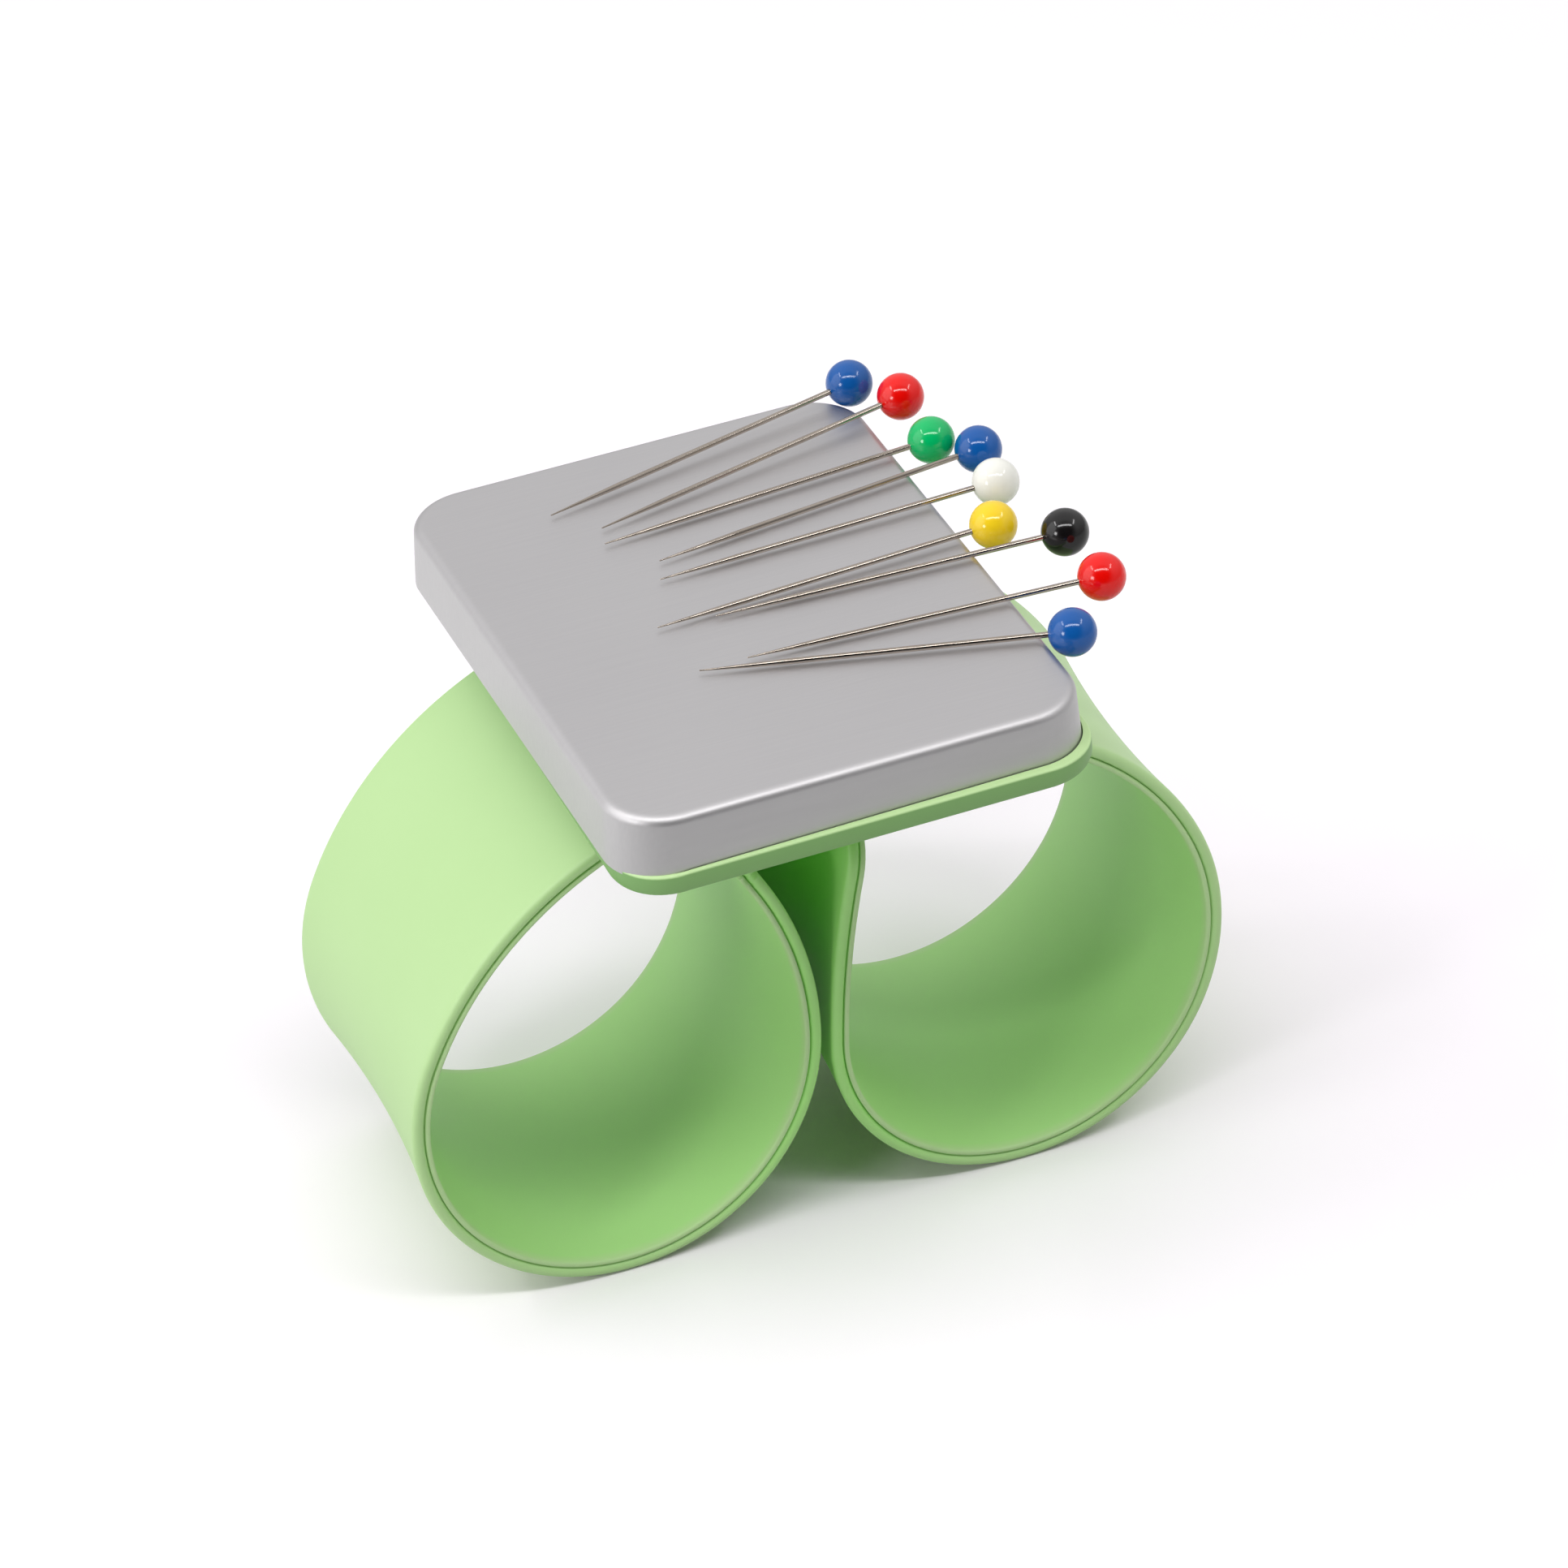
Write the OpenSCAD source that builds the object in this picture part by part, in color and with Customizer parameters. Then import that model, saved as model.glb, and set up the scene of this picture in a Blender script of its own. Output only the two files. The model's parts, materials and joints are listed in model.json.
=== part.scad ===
// Magnetic pin wristband: a steel-topped magnet pad on a silicone tray, carried by
// a silicone band whose two arms coil up below it, with nine ball-headed pins.
// Millimetres. The band runs along X, the cover is long along Y, and the floor is z = 0.

/* [Steel cover] */
// Width of the cover, along the band
cover_width = 40; // [37:0.1:43]
// Length of the cover, across the band
cover_length = 53.7; // [50:0.1:58]
// Height of the cover from its foot to its top
cover_height = 5.54; // [5:0.02:7]
// Radius of the cover's upright corners
cover_corner = 5; // [4:0.1:6]
// Radius of the fold round the cover's top
cover_fillet = 1; // [0.8:0.1:1.3]
// Thickness of the steel sheet
sheet = 0.5; // [0.4:0.05:0.7]
// How far the foot of the skirt stands out past the top
skirt_flare = 0.29; // [0.1:0.01:0.4]
// Turn of the cover on its tray, in degrees
cover_turn = 0.9; // [-1:0.1:1]
// Shift of the cover's centre from the tray's centre
cover_offset = -0.42; // [-0.8:0.02:0]

/* [Magnets] */
// Distance from the magnets to the inside of the skirt at the cover's long sides
magnet_side = 2.8; // [1:0.1:6]
// Distance from the magnets to the inside of the skirt at the cover's ends
magnet_end = 2.65; // [1:0.05:6]
// Thickness of each magnet
magnet_height = 3; // [2:0.1:3.4]
// Distance between the two magnets
magnet_space = 3; // [2:0.1:5]
// Thickness of the tape that holds the magnets to the cover
tape_height = 0.3; // [0.1:0.05:0.5]
// Clearance round the magnets and inside the skirt
inside_gap = 0.2; // [0.1:0.05:0.3]

/* [Silicone tray] */
// How far the tray stands out past the top of the cover at its long sides
tray_side = 0.68; // [0.4:0.02:0.8]
// How far the tray stands out past the top of the cover at its ends
tray_end = 0.85; // [0.8:0.05:1.2]
// Thickness of the tray's floor
tray_floor = 0.68; // [0.6:0.01:1.2]
// Height of the lip above the tray's floor
lip_height = 1.2; // [0.6:0.05:1.5]
// Radius of the round edges of the tray
tray_round = 0.2; // [0.1:0.05:0.3]
// Clearance between the cover's foot and the lip
lip_gap = 0.05; // [0.02:0.01:0.1]
// Shift of the tray's centre from the middle of the band
tray_offset = 0.57; // [0:0.01:1]
// How far the bond pad reaches past the edges of the spring strip
pad_reach = 0.5; // [0:0.1:1]

/* [Silicone band] */
// Width of the band
band_width = 30; // [27:0.5:32]
// Thickness of the band at its edges and along its middle
band_thickness = 1.55; // [1.5:0.05:2]
// How far the band's edges curve outwards past its middle
band_cup = 0.8; // [0.5:0.05:1]
// Depth of the groove along each edge
edge_groove = 0.2; // [0.1:0.05:0.3]
// How far the corners at the ends of the band are cut back
tip_corner = 4; // [2:0.5:6]
// Gap between the band's edges and the tray
band_gap = 0.4; // [0.1:0.05:0.6]
// Depth of the coils below the middle of the band
coil_depth = 45.3; // [42:0.1:48]
// Gap between the two coiled arms
arm_gap = 0.6; // [0.5:0.1:2]

/* [Spring strip] */
// Width of the steel strip inside the band
strip_width = 24; // [22:0.5:25]
// Thickness of the steel strip
strip_thickness = 0.3; // [0.2:0.02:0.4]
// Clearance round the strip inside the band
strip_gap = 0.1; // [0.06:0.01:0.12]
// Silicone left past each end of the strip
strip_end = 5; // [3:0.5:8]

/* [Pins] */
// Length of a pin from its point to the middle of its head
pin_length = 30; // [28:0.5:32]
// Diameter of a pin's steel shaft
pin_diameter = 0.5; // [0.4:0.05:0.6]
// Diameter of a pin's head
head_diameter = 4; // [3.6:0.1:4.2]
// Length of the tapered point
point_length = 7; // [4:0.5:10]
// Diameter of the very point
point_diameter = 0.08; // [0.06:0.01:0.12]
// Clearance between the lying pins and the cover
pin_gap = 0.1; // [0.08:0.01:0.15]
// Clearance round the shaft inside the head
head_gap = 0.02; // [0.01:0.01:0.03]
// How far the shaft runs past the middle of the head
pin_hold = 0.8; // [0.5:0.1:1.2]

/* [Hidden] */
$fn = 96;
// Overrun of every cut past the face that it opens
overrun = 1;

// The coils are chains of arcs that start level at the middle of the band. The radii
// are shares of one size, which makes each coil just coil_depth deep. The first arc
// of an arm stays with the middle of the band, and the others are its hinged links.
radius_shares = [[1.69, 1.64, 0.95, 0.87, 0.85, 0.9, 1.0, 1.57],
    [1.95, 1.26, 1.07, 0.97, 0.88, 0.8, 0.8, 4.5]];
bends = [[29, 37, 44, 44, 40, 37, 37, 36], [28, 41, 44, 44, 40, 39, 37, 13]];
links = 7;
level_angle = 180;

// Direction of the path at the start of arc i, in degrees
function heading(side, i) = i == 0 ? level_angle : heading(side, i - 1) + bends[side][i - 1];
function from_centre(angle) = [sin(angle), -cos(angle)];
// Start of arc i from the start of the arm, for arcs of the given radii
function along(radii, side, i) = i == 0 ? [0, 0]
    : along(radii, side, i - 1)
    + radii[i - 1] * (from_centre(heading(side, i)) - from_centre(heading(side, i - 1)));
function arc_centre(radii, side, i) = along(radii, side, i)
    - radii[i] * from_centre(heading(side, i));
// The arc on which the path has the given direction
function arc_at(side, angle) = [for (i = [0 : links])
    if (heading(side, i) <= angle && heading(side, i + 1) > angle) i][0];
// Furthest reach of the path where it has the given direction
function reach(radii, side, angle) = let (i = arc_at(side, angle))
    arc_centre(radii, side, i) + radii[i] * from_centre(angle);

bottom_angle = 360;
outside_angle = 270;
inside_angle = 450;
// Rounds a length to a thousandth, so that the arcs and the level middle meet exactly
fine_steps = 1000;
function fine(x) = round(x * fine_steps) / fine_steps;
radii = [for (side = [0, 1]) [for (share = radius_shares[side])
    fine(share * coil_depth / -reach(radius_shares[side], side, bottom_angle)[1])]];
// Where each arm's first arc starts, so that the coils keep arm_gap between them
arm_start = [for (side = [0, 1]) fine(reach(radii[side], side, inside_angle)[0] + arm_gap / 2)];
widest = [for (side = [0, 1]) arm_start[side] - reach(radii[side], side, outside_angle)[0]];
// The middle of the band from the middle of the whole part
band_middle = fine((widest[0] - widest[1]) / 2);
// Height of the band's edges at its middle
band_level = coil_depth;

tray_bottom = band_level + band_gap;
foot_level = tray_bottom + tray_floor;
top_level = foot_level + cover_height;
tray_middle = band_middle + tray_offset;
cover_middle = tray_middle + cover_offset;
tray_width = cover_width + 2 * tray_side;
tray_length = cover_length + 2 * tray_end;
tray_corner = cover_corner + skirt_flare;
inner_width = cover_width - 2 * (sheet + inside_gap);
inner_length = cover_length - 2 * (sheet + inside_gap);
inner_corner = cover_corner - sheet - inside_gap;
tape_top = top_level - sheet;
magnet_top = tape_top - tape_height;
foam_height = magnet_top - magnet_height - foot_level;
magnet_width = inner_width - 2 * magnet_side;
magnet_length = (inner_length - magnet_space) / 2 - magnet_end;
magnet_middle = (magnet_length + magnet_space) / 2;
// Inset of the tape, which lies on the flat part of the cover's inner face
tape_inset = cover_fillet + inside_gap;

half_band = band_width / 2;
bead_share = 2 / 3;
bead = band_thickness * bead_share / 2;
face_steps = 3;

pins = 9;
pin_radius = pin_diameter / 2;
head_radius = head_diameter / 2;
point_radius = point_diameter / 2;
// Each pin's place: how far its head stands out past the cover's side, in shares of
// the head's radius, how far along the cover it is, in shares of the cover's length,
// how much higher its head is than its point, in shares of the head's radius,
// and its turn from the band's direction in degrees
overhang_shares = [0.66, 1.59, 1.59, 3.07, 2.68, 1.3, 3.71, 3.7, 1.02];
row_shares = [0.468, 0.396, 0.273, 0.215, 0.112, 0, -0.067, -0.207, -0.326];
lift_shares = [0.5, 0.45, 0.12, 0.1, 0.15, 0.15, 0.1, 0.1, 0.08];
pin_turns = [12.3, 12.2, 4, 6.7, 1.2, 2.4, -3.4, -4.6, -17.1];
head_colours = ["royalblue", "crimson", "seagreen", "royalblue", "whitesmoke",
    "gold", "black", "crimson", "royalblue"];

steel_colour = [0.74, 0.74, 0.76];
silicone_colour = [0.72, 0.9, 0.62];
ferrite_colour = [0.2, 0.2, 0.21];
foam_colour = [0.3, 0.3, 0.32];

// Half width of the cover's outline at a distance along it, with its round corners
function outline_at(y) = let (past = abs(y) - (cover_length / 2 - cover_corner))
    past <= 0 ? cover_width / 2
    : cover_width / 2 - cover_corner + sqrt(pow(cover_corner, 2) - pow(past, 2));
// Middle of a pin's head from the middle of the cover's top
function head_place(i) = [
    outline_at(row_shares[i] * cover_length) + overhang_shares[i] * head_radius,
    row_shares[i] * cover_length,
    pin_radius + pin_gap + lift_shares[i] * head_radius];
function pin_rise(i) = asin(lift_shares[i] * head_radius / pin_length);

// Sweeps a wall profile round a rectangle with round corners. The profile's x runs
// outwards from the centre of a corner, and its y runs up.
module round_sweep(width, length, corner) {
    for (quarter = [0 : 3]) {
        across = quarter % 2 == 0 ? width : length;
        run = quarter % 2 == 0 ? length : width;
        rotate([0, 0, 90 * quarter])
            translate([across / 2 - corner, run / 2 - corner, 0]) {
                rotate([90, 0, 0])
                    linear_extrude(run - 2 * corner)
                        children();
                rotate_extrude(angle = 90)
                    children();
            }
    }
}

module round_rectangle(width, length, corner) {
    square([width - 2 * corner, length], center = true);
    square([width, length - 2 * corner], center = true);
    for (x = [-1, 1], y = [-1, 1])
        translate([x * (width / 2 - corner), y * (length / 2 - corner)])
            circle(corner);
}

module core_slab(width, length, corner, height) {
    translate([corner - width / 2, corner - length / 2, 0])
        cube([width - 2 * corner, length - 2 * corner, height]);
}

// Puts its children on the cover's foot, turned as the cover is turned
module at_cover(z) {
    translate([cover_middle, 0, z])
        rotate([0, 0, cover_turn])
            children();
}

module cover_profile() {
    fold = [for (a = [0 : 15 : 90]) [cos(a), sin(a)]];
    turn = [cover_corner - cover_fillet, cover_height - cover_fillet];
    count = len(fold);
    polygon(concat([[cover_corner + skirt_flare, 0]],
        [for (p = fold) turn + cover_fillet * p],
        [[0, cover_height], [0, cover_height - sheet]],
        [for (i = [1 : count]) turn + (cover_fillet - sheet) * fold[count - i]],
        [[cover_corner + skirt_flare - sheet, 0]]));
}

module steel_cover() {
    color(steel_colour)
        at_cover(foot_level) {
            round_sweep(cover_width, cover_length, cover_corner)
                cover_profile();
            translate([0, 0, cover_height - sheet])
                core_slab(cover_width, cover_length, cover_corner, sheet);
        }
}

module cover_tape() {
    color("khaki")
        at_cover(magnet_top)
            linear_extrude(tape_height)
                round_rectangle(cover_width - 2 * tape_inset,
                    cover_length - 2 * tape_inset, cover_corner - tape_inset);
}

module magnet(side) {
    color(ferrite_colour)
        at_cover(magnet_top - magnet_height)
            translate([-magnet_width / 2, side * magnet_middle - magnet_length / 2, 0])
                cube([magnet_width, magnet_length, magnet_height]);
}

module magnet_spacer() {
    pocket = [magnet_width + 2 * inside_gap, magnet_length + 2 * inside_gap];
    color(foam_colour)
        at_cover(magnet_top - magnet_height)
            linear_extrude(magnet_height)
                difference() {
                    round_rectangle(inner_width, inner_length, inner_corner);
                    for (side = [-1, 1])
                        translate([0, side * magnet_middle])
                            square(pocket, center = true);
                }
}

module foam_pad() {
    color(foam_colour)
        at_cover(foot_level)
            linear_extrude(foam_height)
                round_rectangle(inner_width, inner_length, inner_corner);
}

module tray_profile() {
    turn = [for (a = [0 : 30 : 90]) [cos(a), sin(a)]];
    high = tray_floor + lip_height;
    polygon(concat([[0, 0]],
        [for (i = [1 : len(turn)]) let (p = turn[len(turn) - i])
            [tray_corner - tray_round + tray_round * p[0], tray_round * (1 - p[1])]],
        [for (p = turn)
            [tray_corner - tray_round + tray_round * p[0], high - tray_round * (1 - p[1])]],
        [[0, high]]));
}

module silicone_tray() {
    margin = skirt_flare + lip_gap;
    color(silicone_colour)
        difference() {
            translate([tray_middle, 0, tray_bottom]) {
                round_sweep(tray_width, tray_length, tray_corner)
                    tray_profile();
                core_slab(tray_width, tray_length, tray_corner, tray_floor + lip_height);
            }
            at_cover(foot_level)
                linear_extrude(lip_height + overrun)
                    round_rectangle(cover_width + 2 * margin, cover_length + 2 * margin,
                        cover_corner + margin);
        }
}

// The band's section. Its x runs outwards from the path of the band's edges, and its y
// runs across the band. The outer face is hollow, so that the edges stand out furthest.
function hollow(y) = -band_cup * (1 - pow(y / half_band, 2));
function face(half, depth, steps) =
    [for (i = [0 : steps]) let (y = half * i / steps) [hollow(y) - depth, y]];
function flipped(points) =
    [for (i = [1 : len(points)]) let (p = points[len(points) - i]) [p[0], -p[1]]];
function backwards(points) = [for (i = [1 : len(points)]) points[len(points) - i]];

module band_section() {
    flat_end = half_band - bead;
    turn = [hollow(flat_end) - bead, flat_end];
    lip = band_thickness - 2 * bead;
    half = concat(face(flat_end, 0, face_steps),
        [for (a = [30 : 30 : 120]) turn + bead * [cos(a), sin(a)]],
        [turn + [-bead, bead * sin(120) - edge_groove]],
        [turn + [-bead - lip / 2, bead * sin(120)]],
        [turn + [-bead - lip, bead / 2]],
        backwards(face(flat_end, band_thickness, face_steps)));
    polygon(concat(half, flipped(half)));
}

// A layer that follows the band's hollow section, at mid-thickness
module layer_section(width, thickness) {
    middle = band_thickness / 2;
    half = concat(face(width / 2, middle - thickness / 2, face_steps),
        backwards(face(width / 2, middle + thickness / 2, face_steps)));
    polygon(concat(half, flipped(half)));
}

module slot_section() {
    layer_section(strip_width + 2 * strip_gap, strip_thickness + 2 * strip_gap);
}

module sleeve_section() {
    difference() {
        band_section();
        slot_section();
    }
}

module strip_section() {
    layer_section(strip_width, strip_thickness);
}

// Height of the band's outer face at distances across the band, as its section has it
outer_heights = [for (p = face(half_band - bead, 0, face_steps)) [p[1], p[0]]];

// Fills the space between the band's hollow outer face and the tray
module pad_section() {
    half_pad = strip_width / 2 + pad_reach;
    half = concat([[band_gap, 0], [band_gap, half_pad]],
        [[lookup(half_pad, outer_heights), half_pad]],
        backwards([for (p = outer_heights) if (p[0] < half_pad) [p[1], p[0]]]));
    polygon(concat(half, flipped(half)));
}

module at_arm(side) {
    translate([band_middle, 0, band_level])
        mirror([side, 0, 0])
            translate([-arm_start[side], 0, 0])
                children();
}

// Sweeps a section along arc i of an arm, between two shares of its bend
module arc_sweep(side, i, begin = 0, end = 1) {
    centre = arc_centre(radii[side], side, i);
    at_arm(side)
        translate([centre[0], 0, centre[1]])
            rotate([90, 0, 0])
                rotate([0, 0, heading(side, i) - 90 + begin * bends[side][i]])
                    rotate_extrude(angle = (end - begin) * bends[side][i])
                        translate([radii[side][i], 0])
                            children();
}

// Sweeps a section along the level middle of the band
module middle_sweep() {
    translate([band_middle + arm_start[1], 0, band_level])
        rotate([0, -90, 0])
            linear_extrude(arm_start[0] + arm_start[1])
                children();
}

module centre_sleeve() {
    color(silicone_colour) {
        middle_sweep()
            sleeve_section();
        for (side = [0, 1])
            arc_sweep(side, 0)
                sleeve_section();
    }
}

module centre_strip() {
    color(steel_colour) {
        middle_sweep()
            strip_section();
        for (side = [0, 1])
            arc_sweep(side, 0)
                strip_section();
    }
}

module bond_pad() {
    color(silicone_colour)
        middle_sweep()
            pad_section();
}

// How far a cut along an arc starts before the arc, as a share of the arc
overlap_share = 0.05;
// Share of the last arc that lies further than a length from the band's end
function share_before(side, length) =
    1 - length / (radii[side][links] * bends[side][links] * PI / level_angle);

// Cuts the two corners at an arm's end off at a slant
module tip_corners(side) {
    end = along(radii[side], side, links + 1);
    at_arm(side)
        translate([end[0], 0, end[1]])
            rotate([0, -heading(side, links + 1), 0])
                for (y = [-1, 1])
                    translate([0, y * half_band, -overrun])
                        linear_extrude(band_thickness + band_cup + 2 * overrun)
                            polygon([[-tip_corner - overrun, y * overrun],
                                [overrun, -y * (tip_corner + overrun)],
                                [overrun, y * overrun]]);
}

module sleeve(side, i) {
    color(silicone_colour)
        if (i < links) {
            arc_sweep(side, i)
                sleeve_section();
        } else {
            difference() {
                arc_sweep(side, i)
                    band_section();
                arc_sweep(side, i, -overlap_share, share_before(side, strip_end - strip_gap))
                    slot_section();
                tip_corners(side);
            }
        }
}

module strip(side, i) {
    color(steel_colour)
        arc_sweep(side, i, 0, i < links ? 1 : share_before(side, strip_end))
            strip_section();
}

// Puts a pin's children along the pin, from its point towards its head
module at_pin(i) {
    rise = pin_rise(i);
    turn = pin_turns[i];
    along_pin = [cos(rise) * cos(turn), cos(rise) * sin(turn), sin(rise)];
    at_cover(top_level)
        translate(head_place(i) - pin_length * along_pin)
            rotate([0, 90 - rise, turn])
                children();
}

module pin_shaft(i) {
    color("silver")
        at_pin(i) {
            cylinder(point_length, point_radius, pin_radius);
            translate([0, 0, point_length])
                cylinder(pin_length + pin_hold - point_length, pin_radius, pin_radius);
        }
}

module pin_head(i) {
    color(head_colours[i])
        at_pin(i)
            translate([0, 0, pin_length])
                difference() {
                    sphere(head_radius);
                    translate([0, 0, -head_radius - overrun])
                        cylinder(head_radius + overrun + pin_hold + head_gap,
                            pin_radius + head_gap, pin_radius + head_gap);
                }
}

steel_cover();
cover_tape();
magnet(-1);  // magnet_near
magnet(1);  // magnet_far
magnet_spacer();
foam_pad();
silicone_tray();
bond_pad();
centre_sleeve();
centre_strip();
for (i = [1 : links]) {
    sleeve(0, i);
    strip(0, i);
    sleeve(1, i);
    strip(1, i);
}
for (i = [1 : pins]) {
    pin_shaft(i - 1);
    pin_head(i - 1);
}
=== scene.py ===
# %% [markdown]
# This lesson dresses a magnetic pin wristband: a steel-topped magnet pad on a green
# silicone band that coils into two loops below it, with nine ball-headed pins lying on
# the steel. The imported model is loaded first, because every piece made here takes its
# place from it.

import json
import math

import bmesh
import bpy
from mathutils import Matrix, Vector
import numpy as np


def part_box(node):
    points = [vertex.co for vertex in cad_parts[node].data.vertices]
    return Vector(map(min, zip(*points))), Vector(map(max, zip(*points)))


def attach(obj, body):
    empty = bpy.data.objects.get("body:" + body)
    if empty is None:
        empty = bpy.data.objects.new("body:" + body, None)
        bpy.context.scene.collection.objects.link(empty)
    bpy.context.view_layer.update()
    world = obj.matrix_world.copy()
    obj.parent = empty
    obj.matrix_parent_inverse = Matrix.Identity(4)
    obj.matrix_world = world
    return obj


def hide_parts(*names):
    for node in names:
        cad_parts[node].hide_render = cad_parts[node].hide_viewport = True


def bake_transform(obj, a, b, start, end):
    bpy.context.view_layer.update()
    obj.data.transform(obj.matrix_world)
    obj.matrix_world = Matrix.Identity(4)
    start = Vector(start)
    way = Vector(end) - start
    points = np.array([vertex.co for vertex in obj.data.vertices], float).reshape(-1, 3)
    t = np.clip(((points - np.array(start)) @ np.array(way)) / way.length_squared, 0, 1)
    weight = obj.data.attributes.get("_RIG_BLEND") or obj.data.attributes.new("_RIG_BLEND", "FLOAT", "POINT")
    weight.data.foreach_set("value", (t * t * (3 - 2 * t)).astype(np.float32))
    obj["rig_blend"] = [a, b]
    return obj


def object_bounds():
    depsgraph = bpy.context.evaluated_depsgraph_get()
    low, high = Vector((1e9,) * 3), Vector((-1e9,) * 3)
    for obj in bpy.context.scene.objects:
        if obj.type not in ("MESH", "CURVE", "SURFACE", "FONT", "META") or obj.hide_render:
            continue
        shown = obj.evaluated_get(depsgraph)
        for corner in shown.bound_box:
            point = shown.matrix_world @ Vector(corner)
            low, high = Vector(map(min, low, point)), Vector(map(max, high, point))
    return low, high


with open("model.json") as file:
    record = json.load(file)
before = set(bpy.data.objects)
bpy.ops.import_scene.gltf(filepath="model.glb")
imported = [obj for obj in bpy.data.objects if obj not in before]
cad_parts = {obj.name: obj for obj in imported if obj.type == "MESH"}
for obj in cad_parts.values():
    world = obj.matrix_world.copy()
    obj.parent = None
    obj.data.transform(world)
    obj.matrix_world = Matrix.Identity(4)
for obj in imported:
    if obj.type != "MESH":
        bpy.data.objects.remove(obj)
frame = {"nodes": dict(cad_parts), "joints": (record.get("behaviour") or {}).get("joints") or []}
cad_low, cad_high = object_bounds()
scene = bpy.context.scene
MM = 0.001
print("CAD box in mm:", [round(v / MM, 2) for v in cad_high - cad_low])

# %% [markdown]
# The camera stands to the left of the band's front and looks down at it with a long
# lens. It is set up before the pieces, so that each of them can be looked at as it comes.
# A turn about Z, a tilt and a small roll give the same view as dragging a camera by
# hand, but as a place and three angles that can be read and changed.

# %% Camera
CAMERA_PLACE = Vector((-157.389, -486.870, 380.814)) * MM
CAMERA_AZIMUTH = math.radians(-18.245)
CAMERA_ELEVATION = math.radians(34.149)
CAMERA_ROLL = math.radians(-4.512)
LENS, SENSOR = 172.32, 36
CLIP_START, CLIP_END = 0.01, 20
camera_data = bpy.data.cameras.new("camera")
camera_data.lens = LENS
camera_data.sensor_width = SENSOR
camera_data.clip_start = CLIP_START
camera_data.clip_end = CLIP_END
camera = bpy.data.objects.new("camera", camera_data)
scene.collection.objects.link(camera)
camera.matrix_world = (
    Matrix.Translation(CAMERA_PLACE)
    @ Matrix.Rotation(CAMERA_AZIMUTH, 4, "Z")
    @ Matrix.Rotation(math.pi / 2 - CAMERA_ELEVATION, 4, "X")
    @ Matrix.Rotation(CAMERA_ROLL, 4, "Z")
)
scene.camera = camera
print("camera distance in mm:", round(CAMERA_PLACE.length / MM))

# %% [markdown]
# Finishes come next. Two effects are used by several materials: a fine grain with soft
# mottling, as on moulded silicone, foam and plastic, and drawn lines, as on rolled or
# brushed metal. Each is a node group with named sockets, so that every material can
# place it with its own values.

# %% Helpers for node groups
def new_group(name, inputs, outputs):
    """An empty shader group with the given sockets, and its two end nodes."""
    group = bpy.data.node_groups.new(name, "ShaderNodeTree")
    for label, kind, value in inputs:
        socket = group.interface.new_socket(label, in_out="INPUT", socket_type=kind)
        socket.default_value = value
    for label, kind in outputs:
        group.interface.new_socket(label, in_out="OUTPUT", socket_type=kind)
    start = group.nodes.new("NodeGroupInput")
    end = group.nodes.new("NodeGroupOutput")
    return group, start, end


def mix_colours(group, factor, first, second):
    """Mixes two colours by a factor socket, each of them a plain colour or a socket."""
    mix = group.nodes.new("ShaderNodeMix")
    mix.data_type = "RGBA"
    group.links.new(factor, mix.inputs["Factor"])
    for letter, colour in (("A", first), ("B", second)):
        if isinstance(colour, tuple):
            mix.inputs[letter].default_value = colour
        else:
            group.links.new(colour, mix.inputs[letter])
    return mix.outputs["Result"]


def map_range(group, value, low, high):
    """Maps a 0 to 1 socket to the range between two sockets."""
    node = group.nodes.new("ShaderNodeMapRange")
    group.links.new(value, node.inputs["Value"])
    group.links.new(low, node.inputs["To Min"])
    group.links.new(high, node.inputs["To Max"])
    return node.outputs["Result"]


# %% [markdown]
# A moulded surface has no pattern, only a skin that isn't quite even: soft patches of
# colour and roughness, and a fine grain that breaks up its highlights. Two noises of
# different scales give both. One mask leads the colour and the roughness together, so
# that a darker patch is a duller one too.

# %% Grain group
FLOAT, COLOUR, VECTOR = "NodeSocketFloat", "NodeSocketColor", "NodeSocketVector"
GREY = (0.5, 0.5, 0.5, 1)
SURFACE_SOCKETS = [
    ("Vector", VECTOR, (0, 0, 0)),
    ("Light colour", COLOUR, GREY),
    ("Dark colour", COLOUR, GREY),
    ("Low roughness", FLOAT, 0.3),
    ("High roughness", FLOAT, 0.5),
    ("Mottle scale", FLOAT, 60),
    ("Fine scale", FLOAT, 2000),
]
SURFACE_RESULTS = [("Colour", COLOUR), ("Roughness", FLOAT), ("Height", FLOAT)]
MOTTLE_DETAIL, FINE_DETAIL = 3, 2


def spread(group, start, end, mask):
    """Lets a mask lead from the light to the dark colour, and from low roughness to high."""
    light, dark = start.outputs["Light colour"], start.outputs["Dark colour"]
    low, high = start.outputs["Low roughness"], start.outputs["High roughness"]
    group.links.new(mix_colours(group, mask, light, dark), end.inputs["Colour"])
    group.links.new(map_range(group, mask, low, high), end.inputs["Roughness"])


def make_grain():
    """Soft mottling of colour and roughness, with a fine even grain for the bump."""
    group, start, end = new_group("grain", SURFACE_SOCKETS, SURFACE_RESULTS)
    mottle = group.nodes.new("ShaderNodeTexNoise")
    mottle.inputs["Detail"].default_value = MOTTLE_DETAIL
    fine = group.nodes.new("ShaderNodeTexNoise")
    fine.inputs["Detail"].default_value = FINE_DETAIL
    link = group.links.new
    for noise, scale in ((mottle, "Mottle scale"), (fine, "Fine scale")):
        link(start.outputs["Vector"], noise.inputs["Vector"])
        link(start.outputs[scale], noise.inputs["Scale"])
    spread(group, start, end, mottle.outputs["Fac"])
    link(fine.outputs["Fac"], end.inputs["Height"])
    return group


grain = make_grain()
print("grain group:", len(grain.nodes), "nodes")

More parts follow.
